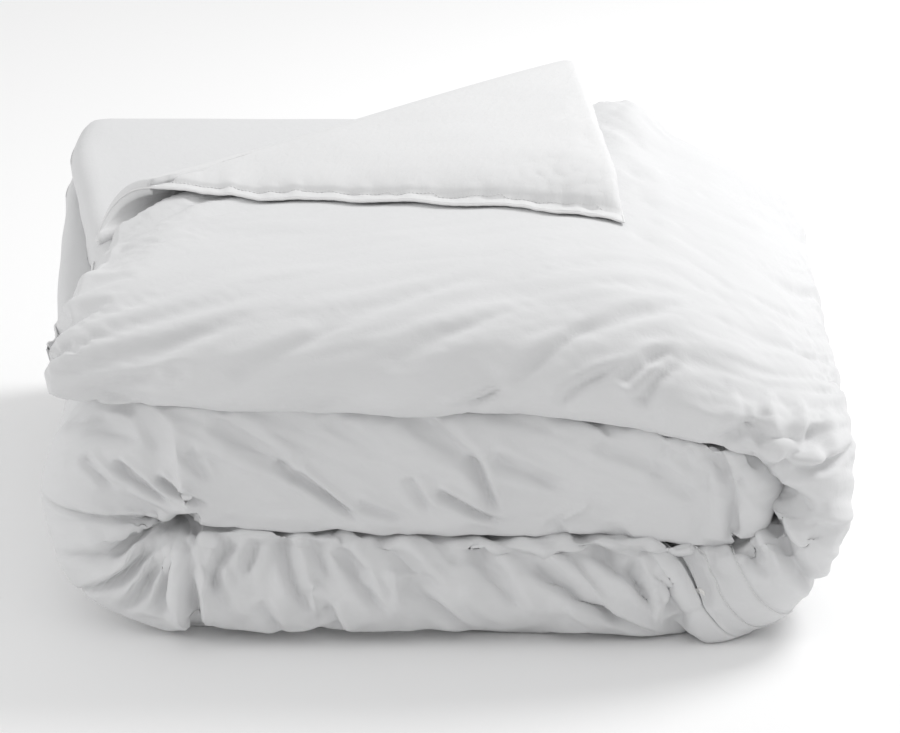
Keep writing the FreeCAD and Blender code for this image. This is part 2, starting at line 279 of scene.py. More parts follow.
def sag(p):
    """Moves points of the plain folded shape to where the weight and the folds take them."""
    x, y, z = p[..., 0], p[..., 1], p[..., 2]
    low, high, top = knots(x, SAG_LOW), knots(x, SAG_HIGH), knots(x, SAG_TOP)
    dz = np.where(
        z < Z_LOW, low * z / Z_LOW,
        np.where(
            z < Z_HIGH,
            low + (high - low) * (z - Z_LOW) / (Z_HIGH - Z_LOW),
            high + (top - high) * (z - Z_HIGH) / (Z_TOP - Z_HIGH),
        ),
    )
    out = p.copy()
    out[..., 2] = z + dz
    end = smooth((-0.20 - x) / 0.18) * smooth((z - Z_HIGH + 0.01) / 0.02)
    out[..., 0] = x + end * np.interp(y, END_Y, END_IN)
    return out


def noise_at(u, v, seed):
    """Blender's own noise, which is the same each run, at arrays of places."""
    return np.array([noise.noise((a, b, seed)) for a, b in zip(u, v)])


def ridged(u, v, angle, long_way, short_way, seed):
    """Noise drawn out along angle: long_way and short_way are its sizes in metres."""
    c, s = math.cos(angle), math.sin(angle)
    return noise_at((u * c + v * s) / long_way, (-u * s + v * c) / short_way, seed)


def ripple_between(p):
    """Low waves where two laps press on each other, the same on both faces."""
    flat = p.reshape(-1, 3).copy()
    dz = np.zeros(len(flat))
    for level, seed in ((Z_LOW, 3.0), (Z_HIGH, 5.0)):
        near = np.exp(-((flat[:, 2] - level) / 0.02) ** 2)
        i = np.nonzero(near > 0.02)[0]
        a, b = flat[i, 0], flat[i, 1]
        w = 0.008 * noise_at(a * 7 + b * 4, b * 11 - a * 3, seed)
        w += 0.004 * noise_at(a * 22 + b * 6, b * 13, seed + 9)
        dz[i] += w * near[i] * smooth((flat[i, 0] + 0.36) / 0.05)
    flat[:, 2] += dz
    return flat.reshape(p.shape)


# ---------------------------------------------------------------- creases
# each runs from one place to another, with its depth (below zero for a ridge) and half width,
# all in metres; it is widest and deepest near its start
PINCH = (LEFT_C[0] + 0.004, Z_LOW + 0.014)
LEFT_CREASES = [
    # reach from the pinch of the left fold, bearing in degrees, depth, half width
    (0.140, 173, 0.010, 0.0035), (0.130, 186, -0.006, 0.008), (0.125, 197, 0.011, 0.006),
    (0.120, 208, -0.007, 0.006), (0.130, 216, 0.014, 0.005), (0.110, 226, -0.008, 0.006),
    (0.105, 235, 0.009, 0.006), (0.095, 246, -0.006, 0.007), (0.095, 256, 0.007, 0.006),
    (0.110, 267, -0.014, 0.006), (0.100, 277, 0.015, 0.006), (0.080, 290, -0.006, 0.008),
    (0.100, 300, 0.006, 0.007),
]
RIGHT_CREASES = [
    # from x, z to x, z as offsets from the middle of the right fold, depth, half width
    (0.046, 0.016, 0.136, 0.008, 0.012, 0.0045),
    (0.060, 0.004, 0.120, -0.006, -0.005, 0.009),
    (0.050, -0.010, 0.100, -0.034, 0.012, 0.007),
    (0.052, -0.028, 0.094, -0.066, -0.007, 0.007),
    (0.044, -0.040, 0.102, -0.122, 0.020, 0.0065),
    (0.036, -0.058, 0.074, -0.112, -0.008, 0.008),
    (0.028, -0.072, 0.054, -0.090, 0.014, 0.007),
    (0.066, -0.044, 0.120, -0.092, -0.009, 0.007),
    (0.080, -0.038, 0.128, -0.060, 0.009, 0.0045),
    (0.026, 0.068, -0.014, 0.034, 0.013, 0.007),
    (0.026, 0.068, 0.036, 0.040, 0.009, 0.006),
    (0.044, 0.072, 0.052, 0.036, -0.006, 0.008),
    (0.090, 0.044, 0.048, 0.014, 0.013, 0.007),
    (0.090, 0.044, 0.104, 0.014, 0.009, 0.006),
    (0.072, 0.060, 0.078, 0.036, -0.005, 0.008),
]
MIDDLE_CREASES = [
    # from x, z to x, z, depth, half width
    (-0.045, 0.238, 0.030, 0.172, 0.008, 0.011), (0.020, 0.185, 0.042, 0.134, 0.009, 0.007),
    (0.039, 0.186, 0.106, 0.158, 0.007, 0.008), (-0.012, 0.150, 0.052, 0.117, 0.008, 0.005),
    (-0.040, 0.164, -0.016, 0.128, 0.005, 0.006), (-0.146, 0.168, -0.088, 0.124, 0.008, 0.005),
    (-0.222, 0.222, -0.144, 0.168, 0.008, 0.011), (-0.162, 0.180, -0.142, 0.158, 0.005, 0.005),
    (-0.088, 0.140, -0.040, 0.120, 0.005, 0.005), (0.135, 0.142, 0.103, 0.117, -0.003, 0.004),
    (-0.280, 0.166, -0.232, 0.138, 0.008, 0.0045), (-0.316, 0.178, -0.265, 0.138, 0.008, 0.005),
    (-0.347, 0.184, -0.322, 0.157, 0.005, 0.005), (-0.246, 0.190, -0.229, 0.164, 0.004, 0.006),
    (0.248, 0.200, 0.262, 0.162, 0.006, 0.008), (0.190, 0.176, 0.236, 0.140, 0.005, 0.009),
    (-0.120, 0.222, -0.060, 0.184, 0.004, 0.010), (0.140, 0.205, 0.200, 0.178, 0.004, 0.010),
]
BOTTOM_CREASES = [
    (-0.160, 0.100, -0.136, 0.042, 0.009, 0.007), (-0.134, 0.105, -0.114, 0.070, 0.006, 0.006),
    (-0.070, 0.105, -0.006, 0.058, 0.009, 0.008), (-0.106, 0.096, -0.064, 0.042, 0.008, 0.007),
    (-0.056, 0.080, -0.045, 0.034, -0.005, 0.006), (-0.043, 0.070, 0.020, 0.012, 0.008, 0.008),
    (0.020, 0.098, 0.073, 0.036, 0.007, 0.009), (0.075, 0.084, 0.190, 0.010, 0.013, 0.006),
    (0.116, 0.104, 0.178, 0.066, 0.011, 0.008), (0.172, 0.078, 0.193, 0.038, 0.011, 0.006),
    (0.198, 0.066, 0.201, 0.012, -0.006, 0.006), (-0.129, 0.066, -0.124, 0.028, -0.005, 0.006),
    (-0.115, 0.044, -0.101, 0.010, 0.005, 0.006), (-0.184, 0.100, -0.193, 0.070, 0.006, 0.006),
    (-0.209, 0.100, -0.226, 0.060, 0.008, 0.006), (0.010, 0.060, 0.060, 0.020, -0.004, 0.009),
    (-0.180, 0.050, -0.160, 0.012, 0.005, 0.007), (0.110, 0.050, 0.140, 0.018, -0.004, 0.007),
]
TOP_CREASES = [
    # the second place of each pair is height plus depth over the top
    (0.160, 0.262, 0.208, 0.320, 0.007, 0.008), (0.103, 0.240, 0.165, 0.292, 0.006, 0.007),
    (0.176, 0.240, 0.212, 0.300, 0.008, 0.008), (0.000, 0.232, 0.048, 0.258, 0.007, 0.005),
    (0.060, 0.262, 0.130, 0.345, 0.005, 0.009), (-0.060, 0.285, 0.060, 0.380, 0.004, 0.011),
    (-0.200, 0.270, -0.090, 0.350, 0.004, 0.011), (-0.300, 0.280, -0.200, 0.360, 0.003, 0.011),
    (-0.130, 0.340, 0.020, 0.440, 0.004, 0.012), (0.120, 0.330, 0.250, 0.430, 0.004, 0.010),
]


def sharper(creases):
    """Creases pressed in by the weight of the laps above."""
    return [(*places, 1.2 * depth, 0.85 * half) for *places, depth, half in creases]


def carve(push, u, v, mask, creases):
    """Adds creases to how far the cloth is pushed out. A crease is a narrow valley with a
    ridge along each side, the larger one above it."""
    for u0, v0, u1, v1, depth, half in creases:
        du, dv = u1 - u0, v1 - v0
        size = math.hypot(du, dv)
        t = ((u - u0) * du + (v - v0) * dv) / size ** 2
        across = ((u - u0) * dv - (v - v0) * du) / size
        across = across * (1 if du < 0 else -1)
        width = half * (1.2 - 0.45 * np.clip(t, 0, 1))
        along = smooth((t + 0.06) / 0.16) * smooth((1.15 - t) / 0.5)
        shape = -np.exp(-(across / width) ** 2)
        if depth > 0:
            shape += 0.50 * np.exp(-((across - 1.9 * width) / (1.1 * width)) ** 2)
            shape += 0.25 * np.exp(-((across + 2.1 * width) / (1.3 * width)) ** 2)
        push += depth * shape * along * mask
    return push


def creased(p):
    """All the creases that the folding left, pushed into the finished shape."""
    x, y, z = p[..., 0], p[..., 1], p[..., 2]
    wander = noise_at(x.ravel() * 20, (z + y).ravel() * 20, 31.0).reshape(x.shape)
    u, v = x + 0.004 * wander, z - 0.004 * wander
    front = smooth((FRONT_Y + 0.12 - y) / 0.05)
    part = np.repeat(fine_segment[:, None], p.shape[1], axis=1)
    push = np.zeros(x.shape)
    turned = []
    for reach, bearing, depth, half in LEFT_CREASES:
        c, s = math.cos(math.radians(bearing)), math.sin(math.radians(bearing))
        turned.append(
            (PINCH[0] + 0.010 * c, PINCH[1] + 0.010 * s, PINCH[0] + reach * c,
             PINCH[1] + reach * s, 0.8 * depth, half)
        )
    carve(push, u, v, front * (part <= 3), turned)
    moved_right = [
        (RIGHT_C[0] + a, RIGHT_C[1] + b, RIGHT_C[0] + c, RIGHT_C[1] + d, 0.62 * depth, 1.1 * half)
        for a, b, c, d, depth, half in RIGHT_CREASES
    ]
    carve(push, u, v, front * (part >= 3), moved_right)
    carve(push, u, v, front * (part <= 2), sharper(MIDDLE_CREASES))
    near_floor = smooth(z / 0.012)
    carve(push, u, v, front * near_floor * ((part == 2) | (part == 3)), sharper(BOTTOM_CREASES))
    over = smooth((FRONT_Y + 0.35 - y) / 0.1) * (part >= 4)
    carve(push, u, v + (y - FRONT_Y), over, TOP_CREASES)
    for level in (Z_LOW, Z_HIGH):
        push *= 1 - 0.8 * np.exp(-((fine_plain[..., 2] - level) / 0.011) ** 2) * (part % 2)
    out = p + normals_of(p) * (push * away_from_ends()[:, None])[..., None]
    above = smooth((z - 0.30) / 0.03) * smooth((y + 0.05) / 0.38) * (part == 5)
    full = smooth((x - 0.135) / 0.060) * smooth((0.255 - x) / 0.075)
    out[..., 2] += above * (0.018 * full - 0.008 * np.exp(-((x - 0.285) / 0.030) ** 2))
    return out


plain, lengths, segment = strip()
stations = len(plain)
points = sag(ripple_between(plain))
flat_plain = plain.reshape(-1, 3)
which = np.repeat(np.arange(stations), AROUND)
seg = segment[which]
frac = np.tile(np.arange(AROUND) / AROUND, stations)
up_front = flat_plain[:, 2] + (flat_plain[:, 1] - FRONT_Y)     # height, then depth over the top
strip_obj = mesh_object("strip", points.reshape(-1, 3), strip_faces(stations, AROUND)[0])

# ---------------------------------------------------------------- cloth simulation
REST_SIZE = 1.06                             # how much larger the cloth is cut than its shape
TWIST = [(0.0, 0.0), (0.6, 0.03), (1.0, 0.01), (1.5, -0.02), (1.9, 0.0), (2.6, -0.045)]
FRAMES = 22


def twist(s):
    """How far round the section the cloth is drawn at path length s, as a share of it."""
    return float(np.interp(s, [k[0] for k in TWIST], [k[1] for k in TWIST]))


def plate(name, lo, hi):
    """A thin solid block, sagging with the pack, that keeps two laps apart as they settle."""
    n = 24
    xs, ys = np.linspace(lo[0], hi[0], n), np.linspace(lo[1], hi[1], 3)
    verts = np.array([(x, y, z) for z in (lo[2], hi[2]) for x in xs for y in ys])
    if lo[2] > 0.01:
        verts = sag(verts)
    quads = []
    layer = n * 3
    for i in range(n - 1):
        for j in range(2):
            q = [i * 3 + j, i * 3 + j + 1, (i + 1) * 3 + j + 1, (i + 1) * 3 + j]
            quads += [q, [k + layer for k in reversed(q)]]
    o = mesh_object(name, verts, quads)
    o.modifiers.new("Collision", "COLLISION")
    o.collision.thickness_outer = 0.001
    o.collision.cloth_friction = 5
    return o


def settle(obj, rest, pins, frames):
    """Runs the cloth from its folded shape, with the edge lengths of rest, and returns the
    settled vertices."""
    obj.shape_key_add(name="Basis")
    key = obj.shape_key_add(name="rest")
    key.data.foreach_set("co", rest.astype(np.float32).ravel())
    group = obj.vertex_groups.new(name="pin")
    group.add(np.nonzero(pins)[0].tolist(), 1.0, "REPLACE")
    mod = obj.modifiers.new("Cloth", "CLOTH")
    s = mod.settings
    s.rest_shape_key = key
    s.quality = 5
    s.mass = 0.25
    s.air_damping = 4
    s.tension_stiffness = 20
    s.compression_stiffness = 20
    s.shear_stiffness = 10
    s.bending_stiffness = 0.15
    s.tension_damping = 15
    s.compression_damping = 15
    s.shear_damping = 10
    s.use_pressure = True
    s.uniform_pressure_force = 3.5
    s.vertex_group_mass = "pin"
    s.effector_weights.gravity = 0.0
    mod.collision_settings.use_self_collision = False
    mod.collision_settings.distance_min = 0.002
    mod.collision_settings.collision_quality = 2
    mod.point_cache.frame_start = 1
    mod.point_cache.frame_end = frames
    scene = bpy.context.scene
    scene.frame_start, scene.frame_end = 1, frames
    for f in range(1, frames + 1):
        scene.frame_set(f)
    ev = obj.evaluated_get(bpy.context.evaluated_depsgraph_get())
    co = np.zeros(len(ev.data.vertices) * 3, np.float32)
    ev.data.vertices.foreach_get("co", co)
    obj.modifiers.remove(mod)
    obj.shape_key_clear()
    return co.reshape(-1, 3).astype(float)


def seeds():
    """Starting ripples, so that the spare cloth buckles the way the folding drew it."""
    x = flat_plain[:, 0]
    top = ridged(x, up_front, math.radians(28), 0.16, 0.034, 1.0)
    mid = ridged(x, up_front, math.radians(-32), 0.13, 0.036, 7.0)
    low = ridged(x, up_front, math.radians(-58), 0.10, 0.034, 13.0)
    low += 0.8 * ridged(x, up_front, math.radians(50), 0.10, 0.040, 23.0)
    return np.select([seg >= 4, seg <= 2], [top, mid], 0.6 * low)


def simulate():
    """The strip's points after its spare cloth has buckled and settled."""
    rest = REST_SIZE * strip(grow=0.012, twist=twist)[0].reshape(-1, 3)
    start = points + normals_of(points) * (0.005 * seeds()).reshape(stations, AROUND, 1)
    strip_obj.data.vertices.foreach_set("co", start.astype(np.float32).ravel())
    y = points[..., 1].ravel()
    inner = frac > 0.5
    whole = (which >= CAP_RINGS) & (which < stations - CAP_RINGS)
    behind = (y > FRONT_Y + 0.085) & (y < BACK_Y - 0.05)
    pins = behind & whole & (inner | np.isin(seg, (1, 3)))
    pins |= (y > FRONT_Y + 0.035) & (y < BACK_Y - 0.03) & ~inner & (seg == 3)
    plates = [
        plate("floor_plate", (-0.9, -0.9, -0.05), (0.9, 0.9, 0.0)),
        plate(
            "low_plate", (LEFT_C[0] + 0.02, FRONT_Y + 0.02, Z_LOW - 0.0005),
            (0.26, BACK_Y, Z_LOW + 0.0005),
        ),
        plate(
            "high_plate", (-0.42, FRONT_Y + 0.02, Z_HIGH - 0.0005),
            (0.27, BACK_Y, Z_HIGH + 0.0005),
        ),
    ]
    settled = settle(strip_obj, rest, pins, FRAMES)
    for p in plates:
        bpy.data.objects.remove(p)
    return settled.reshape(points.shape)


def blur(grid, metres):
    """A grid of displacements smoothed along and round the strip over about that distance."""
    sigma = metres / GRID
    reach = int(3 * sigma)
    k = np.exp(-0.5 * (np.arange(-reach, reach + 1) / sigma) ** 2)
    k /= k.sum()
    padded = np.pad(grid, ((reach, reach), (0, 0), (0, 0)), mode="edge")
    out = sum(w * padded[i:i + grid.shape[0]] for i, w in enumerate(k))
    return sum(w * np.roll(out, i - reach, axis=1) for i, w in enumerate(k))


def away_from_ends():
    """One along the strip, falling to nothing at its two ends."""
    return smooth(station_at / END_FADE) * smooth((stations - 1 - station_at) / END_FADE)


def crumpled(p):
    """Folds drawn across the fronts of the laps and over the right shoulder, in the
    directions in which the folding pulled the cloth."""
    x, y, z = fine_plain.reshape(-1, 3).T
    seg, frac = np.repeat(fine_segment, len(around_at)), np.tile(fine_frac, len(fine_segment))
    rise = z + y - FRONT_Y
    warp = 0.02 * noise_at(x * 9, rise * 9, 41.0)
    u, v = x + warp, rise + 0.6 * warp

    def crease(angle, long_way, short_way, seed):
        n = ridged(u, v, math.radians(angle), long_way, short_way, seed)
        return 0.55 * n + 0.45 * (0.22 - np.abs(n))

    mid = crease(-33, 0.15, 0.030, 51.0) + 0.5 * crease(-24, 0.11, 0.017, 52.0)
    low = crease(-52, 0.10, 0.026, 53.0) + 0.7 * crease(-68, 0.08, 0.022, 54.0)
    low += 0.5 * crease(40, 0.09, 0.024, 57.0)
    top = crease(27, 0.17, 0.030, 55.0) + 0.6 * crease(18, 0.12, 0.018, 56.0)
    push = np.zeros(len(x))
    for numbers, amount, depth in (
        ((0, 1), 0.007, mid), ((2,), 0.004, mid), ((3,), 0.008, low), ((4,), 0.006, top),
        ((5,), 0.0028, top),
    ):
        share = softened(np.isin(fine_segment, numbers), FOLDS_SOFTNESS)
        push += amount * depth * np.repeat(share, len(around_at))
    front = smooth((FRONT_Y + 0.12 - y) / 0.06)
    over = np.where((seg >= 4) & (frac < 0.5), 1.0, front)
    push = (push * over * smooth(z / 0.02)).reshape(p.shape[:2]) * away_from_ends()[:, None]
    return p + normals_of(p) * push[..., None]


def ply_grooves(p):
    """The lines between a lap's plies, along the back of the pack."""
    x, y, z = fine_plain.reshape(-1, 3).T
    seg = np.repeat(fine_segment, len(around_at))
    back = smooth((y - BACK_Y + 0.035) / 0.03)
    push = np.zeros(len(y))
    for lo, hi in ((0.0, Z_LOW), (Z_LOW, Z_HIGH), (Z_HIGH, Z_TOP)):
        wave = 0.004 * noise_at(x * 6, np.full(len(y), lo), 61.0)
        for share in (0.36, 0.70):
            level = lo + share * (hi - lo) + wave
            push -= 0.012 * np.exp(-((z - level) / 0.0045) ** 2)
    flat_laps = np.isin(seg, (1, 3, 5))
    push *= back * flat_laps * smooth((x + 0.30) / 0.10)
    out = p.copy()
    out[..., 1] += push.reshape(p.shape[:2])
    return out


# ---------------------------------------------------------------- the turned corner's lines
TIP = np.array((-0.352, -0.052))             # where the crease starts, at the left
CREASE_BACK = np.array((0.140, 0.345))
FREE_CORNER = np.array((0.172, -0.075))
CREASE_LENGTH = float(np.linalg.norm(CREASE_BACK - TIP))
ALONG = (CREASE_BACK - TIP) / CREASE_LENGTH
ACROSS = np.array((ALONG[1], -ALONG[0]))     # towards the front right, under the corner
ROLL_Z = (upper_lo.z + flap_hi.z) / 2
PLY_TOP = 0.272                              # top of the strip where its corner is turned away


def without_corner(p):
    """Lowers the top of the strip behind the crease, where the lower plies show."""
    n = (p[..., :2] - TIP) @ ACROSS
    gone = smooth((0.012 - n) / 0.024) * (fine_segment == 5)[:, None]
    out = p.copy()
    out[..., 2] -= np.maximum(p[..., 2] - PLY_TOP, 0) * gone
    return out


# ---------------------------------------------------------------- closure of the cover
FOLD_STATION = int(np.nonzero(segment == 4)[0][0])
BAND_TOP, BAND_FLOOR = 0.585, 0.468          # the band's reach, as shares of the way round
# station of each line, counted from where the right fold starts: by the middle lap, by the floor
SLIT = (-10.7, 3.0)
STITCH_1 = (-5.8, 5.0)
STITCH_2 = (0.2, 7.4)


def line_at(ends, share):
    """Station of a closure line, share being 0 at the floor and 1 under the middle lap."""
    return FOLD_STATION + ends[1] + (ends[0] - ends[1]) * share


def with_closure(p):
    """The full bottom lap beside the closure band, and the flatter cloth under the band."""
    share = (fine_frac - BAND_FLOOR)[None, :] / (BAND_TOP - BAND_FLOOR)
    from_slit = station_at[:, None] - line_at(SLIT, share)
    near = smooth((share + 0.1) / 0.15) * smooth((1.25 - share) / 0.2)
    push = 0.006 * np.exp(-((from_slit + 2.2) / 1.9) ** 2) - 0.005 * smooth(
        (from_slit + 0.4) / 0.9
    ) * smooth((9.0 - from_slit) / 3.0)
    near = near * (station_at < FOLD_STATION + 14)[:, None]
    return p + normals_of(p) * (push * near)[..., None]


# ---------------------------------------------------------------- the strip's final shape
SLOW_SHARE = 0.25                            # of the broad movement that is kept
SLOW_SIZE = 0.045                            # movement is broad over more than this


def steps_between(marks, spacing):
    """Positions along an axis of grid counts, spaced as wanted between each pair of marks."""
    out = []
    for (a, b), step in zip(zip(marks[:-1], marks[1:]), spacing):
        n = max(int(round((b - a) / step)), 1)
        out.append(a + (b - a) * np.arange(n) / n)
    return np.concatenate([*out, [marks[-1]]])


def cubic(grid, at, wrap):
    """The grid's rows at positions between them, on a smooth curve through them."""
    n = len(grid)
    i = np.floor(at).astype(int)
    f = (at - i)[:, None, None]
    rows = [(i + k) % n if wrap else np.clip(i + k, 0, n - 1) for k in (-1, 0, 1, 2)]
    a, b, c, d = (grid[r] for r in rows)
    return b + 0.5 * f * (c - a + f * (2 * a - 5 * b + 4 * c - d + f * (3 * (b - c) + d - a)))


def resampled_grid(grid):
    """The strip's grid at the finer stations and places round it."""
    fine = cubic(grid, station_at, False)
    return cubic(fine.transpose(1, 0, 2), around_at, True).transpose(1, 0, 2)


FINE, COARSE = 0.36, 0.75                    # steps of the finer grid, in the first grid's steps
left_first, left_last = np.nonzero(segment == 2)[0][[0, -1]]
fold_last = int(np.nonzero(segment == 4)[0][-1])
station_at = steps_between(
    [0, CAP_RINGS, left_first - 4, left_last + 6, FOLD_STATION - 12, fold_last + 6,
     stations - CAP_RINGS, stations - 1],
    [0.5, 0.5, FINE, 0.5, FINE, 0.5, 0.5],
)
half_round = steps_between(
    [0, 0.30 * AROUND, 0.40 * AROUND, 0.5 * AROUND], [COARSE, 0.5, FINE]
)
around_at = np.concatenate([half_round, AROUND - half_round[1:-1][::-1]])
fine_frac = around_at / AROUND
fine_segment = segment[np.clip(np.round(station_at).astype(int), 0, stations - 1)]
fine_plain = resampled_grid(plain)

settled = simulate()
bpy.data.objects.remove(strip_obj)
moved = settled - points
slow = blur(moved, SLOW_SIZE)
final = resampled_grid(points + SLOW_SHARE * slow + (moved - slow))
final = with_closure(creased(ply_grooves(crumpled(final))))
final = without_corner(final)
final[..., 2] = np.maximum(final[..., 2], 0.0004)
rings, around = final.shape[:2]
faces, corners = strip_faces(rings, around)
final[0] = (final[0] + np.roll(final[0][::-1], 1, axis=0)) / 2
final[-1] = (final[-1] + np.roll(final[-1][::-1], 1, axis=0)) / 2
strip_surface = BVHTree.FromPolygons([tuple(v) for v in final.reshape(-1, 3)], faces)


def top_at(x, y):
    """Height of the folded strip under a place."""
    hit = strip_surface.ray_cast(Vector((x, y, 1.0)), Vector((0, 0, -1)))[0]
    return hit.z if hit else Z_TOP


def finish_mesh(obj, uv):
    layer = obj.data.uv_layers.new(name="cloth")
    layer.data.foreach_set("uv", np.asarray(uv, np.float32).ravel())
    obj.data.polygons.foreach_set("use_smooth", [True] * len(obj.data.polygons))
    return obj


# the strip is split where it rides on different bodies, with the whole strip's normals
final_normals = normals_of(final)
strip_u = np.interp(station_at, np.arange(stations), lengths)
strip_v = np.append(around_at, AROUND) * ROUND_LENGTH / AROUND
face_station = np.array([(c[0][0] + c[-1][0]) / 2 for c in corners])


def strip_part(name, first, last):
    """The piece of the strip from one ring to another."""
    chosen = np.nonzero((face_station > first) & (face_station < last))[0]
    used = sorted({v for k in chosen for v in faces[k]})
    new_index = {v: i for i, v in enumerate(used)}
    obj = mesh_object(
        name, final.reshape(-1, 3)[used], [[new_index[v] for v in faces[k]] for k in chosen]
    )
    uv = [(strip_u[i], strip_v[j]) for k in chosen for i, j in corners[k]]
    finish_mesh(obj, uv)
    normals = final_normals.reshape(-1, 3)[used]
    obj.data.normals_split_custom_set_from_vertices(normals.tolist())
    return obj


def ring_of(station):
    return int(np.argmin(np.abs(station_at - station)))


WALL_STATION = FOLD_STATION + 22.5
SPLIT_STATION = FOLD_STATION - 2.5
split_ring, wall_ring = ring_of(SPLIT_STATION), ring_of(WALL_STATION)
lower_cloth = strip_part("duvet_bottom_and_middle_laps", -1, split_ring)
fold_cloth = strip_part("duvet_right_fold", split_ring, wall_ring)
top_cloth = strip_part("duvet_top_lap", wall_ring, rings)


# ---------------------------------------------------------------- padded sheets
def pad(name, mid, half, uv_origin=(0.0, 0.0)):
    """A closed soft sheet: mid is its middle surface as [i, j, xyz] and half its half
    thickness, which is nothing along all four edges."""
    n, m = half.shape
    normal = np.cross(np.gradient(mid, axis=0), np.gradient(mid, axis=1))
    normal /= np.maximum(np.linalg.norm(normal, axis=2, keepdims=True), 1e-9)
    upper, lower = mid + normal * half[..., None], mid - normal * half[..., None]
    inside = np.zeros((n, m), bool)
    inside[1:-1, 1:-1] = True
    lower_index = np.arange(n * m).reshape(n, m)
    lower_index[inside] = n * m + np.arange(inside.sum())
    upper_index = np.arange(n * m).reshape(n, m)
    verts = np.concatenate([upper.reshape(-1, 3), lower[inside]])

    def quads(index):
        return np.stack(
            [index[:-1, :-1], index[1:, :-1], index[1:, 1:], index[:-1, 1:]], axis=-1
        ).reshape(-1, 4)

    step_u = np.linalg.norm(np.diff(mid, axis=0), axis=2).mean(axis=1)
    step_v = np.linalg.norm(np.diff(mid, axis=1), axis=2)
    u = np.concatenate([[0], np.cumsum(step_u)]) + uv_origin[0]
    v = np.concatenate([np.zeros((n, 1)), np.cumsum(step_v, axis=1)], axis=1) + uv_origin[1]
    uv_grid = np.stack([np.repeat(u[:, None], m, axis=1), v], axis=-1).reshape(-1, 2)
    flat_index = quads(np.arange(n * m).reshape(n, m))
    top_quads, under_quads = quads(upper_index), quads(lower_index)[:, ::-1]
    obj = mesh_object(name, verts, np.concatenate([top_quads, under_quads]).tolist())
    both_sides = np.concatenate([flat_index, flat_index[:, ::-1]])
    uv = uv_grid[both_sides].reshape(-1, 2)
    return finish_mesh(obj, uv)


def clustered(size, edge, step):
    """Distances from 0 to size, close together near both ends, where a sheet's edge rounds."""
    near = edge * (1 - np.cos(np.linspace(0, math.pi / 2, 7)))
    n = max(int((size - 2 * edge) / step), 2)
    middle = np.linspace(edge, size - edge, n + 1)[1:-1]
    return np.concatenate([near, middle, size - near[::-1]])


def rounding(distance, edge):
    """Share of the thickness at a distance from a rounded edge."""
    q = np.clip(distance / edge, 0, 1)
    return np.sqrt(np.maximum(1 - (1 - q) ** 2, 0))


def ply(name, z_low, z_high, left_by_y, y_range, right, seed):
    """One of the folded plies that show where the corner is turned back."""
    edge = (z_high - z_low) / 2
    ys = y_range[0] + clustered(y_range[1] - y_range[0], edge, GRID)
    shares = clustered(1.0, 2.0 * edge, 0.016)
    left = np.interp(ys, [k[0] for k in left_by_y], [k[1] for k in left_by_y])
    kernel = np.exp(-0.5 * (np.arange(-4, 5) / 2.0) ** 2)
    padded = np.pad(left, 4, mode="edge")
    left = np.convolve(padded, kernel / kernel.sum(), mode="valid")
    x = left[:, None] + (right - left[:, None]) * shares
    y = np.repeat(ys[:, None], len(shares), axis=1)
    size = (len(ys), len(shares))
    soft = noise_at(x.ravel() * 7, y.ravel() * 7, seed).reshape(size)
    tight = noise_at(x.ravel() * 30, y.ravel() * 9, seed + 3).reshape(size)
    by_end = smooth((left[:, None] + 0.07 - x) / 0.06)
    z = (z_low + z_high) / 2 + 0.003 * soft + 0.004 * tight * by_end
    x = x + 0.004 * tight * by_end
    from_side = np.minimum(x - left[:, None], right - x)
    from_end = np.minimum(y - ys[0], ys[-1] - y)
    half = edge * rounding(from_side, edge) * rounding(from_end, edge)
    half[0] = half[-1] = 0
    half[:, 0] = half[:, -1] = 0
    return pad(name, np.stack([x, y, z], axis=-1), half, (seed, 0.0))


PLY_SPLIT = 0.2600
PLIES_TOP = 0.3040
upper_left = [
    (-0.20, -0.335), (-0.10, -0.350), (0.0, -0.366), (0.10, -0.381), (0.20, -0.397),
    (0.28, -0.404), (0.33, -0.401), (0.36, -0.395),
]
lower_left = [
    (-0.30, -0.355), (-0.22, -0.370), (-0.14, -0.384), (-0.07, -0.391), (0.10, -0.401),
    (0.27, -0.409), (0.31, -0.406), (0.36, -0.392),
]
ply_upper = ply(
    "duvet_top_lap_upper_ply", PLY_SPLIT, PLIES_TOP, upper_left, (-0.16, 0.357), 0.165, 71.0
)
ply_lower = ply(
    "duvet_top_lap_lower_ply", Z_HIGH + 0.002, PLY_SPLIT + 0.001, lower_left, (-0.24, 0.352),
    0.165, 81.0,
)

# ---------------------------------------------------------------- the turned corner
ROLL_RADIUS = 0.0205                         # of the middle of the cloth, round the crease
ROLL_HALF = 0.0085
RIM_ADVANCE = 0.066                          # how far the mouth's rim runs along the crease
FLANGE = 0.016                               # width of the seam beyond the stitching
BACK_RISE = 0.0185                           # how much fuller the corner is towards the back

s_values = np.concatenate([[0], 0.008 * (1 - np.cos(np.linspace(0.25, math.pi / 2, 6)))])
s_values = np.concatenate([s_values, np.linspace(0.012, 0.965, 150), [0.975, 0.984, 0.991, 0.9965, 1.0]])
turn = np.concatenate([[-0.30, -0.24, -0.12], np.linspace(0.0, math.pi, 24)])
flat_share = np.concatenate([np.linspace(0, 0.955, 84), [0.965, 0.974, 0.982, 0.99, 0.996, 1.0]])[1:]

